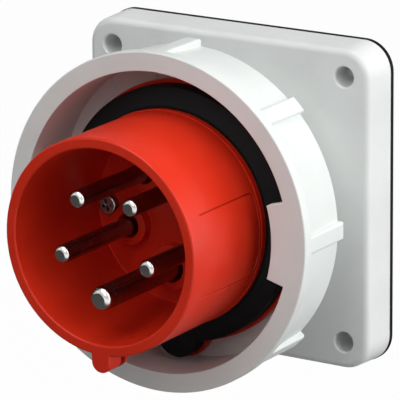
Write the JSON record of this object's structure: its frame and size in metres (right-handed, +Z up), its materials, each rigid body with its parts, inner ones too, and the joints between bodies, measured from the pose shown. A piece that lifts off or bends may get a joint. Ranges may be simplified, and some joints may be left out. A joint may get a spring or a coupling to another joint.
{
  "type": "panel mount appliance inlet",
  "caption": "Panel mount power inlet: square flange, round plug sleeve with contact pins, and a ribbed bayonet ring that turns to lock the coupled connector.",
  "frame": {"origin": "on the axis of the sleeve, in the plane of the panel, which is the gasket's rear face", "axes": "-Y towards the coupled connector, +Y into the panel, +Z up with the key at the bottom, +X to the right seen from the front"},
  "size_m": [0.1138, 0.1033, 0.1138],
  "materials": {
    "housing_plastic": "fine satin moulded",
    "ring_plastic": "satin moulded",
    "sleeve_plastic": "semi-gloss moulded",
    "seal_rubber": "soft satin",
    "carrier_plastic": "satin moulded",
    "contact_nickel": "nickel plated, polished tip",
    "screw_steel": "zinc plated"
  },
  "bodies": {
    "inlet": {"flange_housing": "housing_plastic", "flange_gasket": "seal_rubber", "plug_sleeve": "sleeve_plastic", "front_seal": "seal_rubber", "neck_seal": "seal_rubber", "contact_carrier": "carrier_plastic", "terminal_screws": "screw_steel", "sleeve_screws": "screw_steel", "carrier_screws": "screw_steel", "earth_pin": "contact_nickel", "earth_pin_seal": "seal_rubber", "earth_pin_wire_clamp": "screw_steel", "phase_pin_1": "contact_nickel", "phase_pin_1_seal": "seal_rubber", "phase_pin_1_wire_clamp": "screw_steel", "phase_pin_2": "contact_nickel", "phase_pin_2_seal": "seal_rubber", "phase_pin_2_wire_clamp": "screw_steel", "phase_pin_3": "contact_nickel", "phase_pin_3_seal": "seal_rubber", "phase_pin_3_wire_clamp": "screw_steel", "neutral_pin": "contact_nickel", "neutral_pin_seal": "seal_rubber", "neutral_pin_wire_clamp": "screw_steel"},
    "locking_ring": {"bayonet_ring": "ring_plastic"}
  },
  "joints": [
    {"name": "ring_turn", "type": "hinge", "parent": "inlet", "child": "locking_ring", "pos_m": [0, -0.04, 0], "axis": [0, 1, 0], "range_deg": [0, 45]}
  ]
}
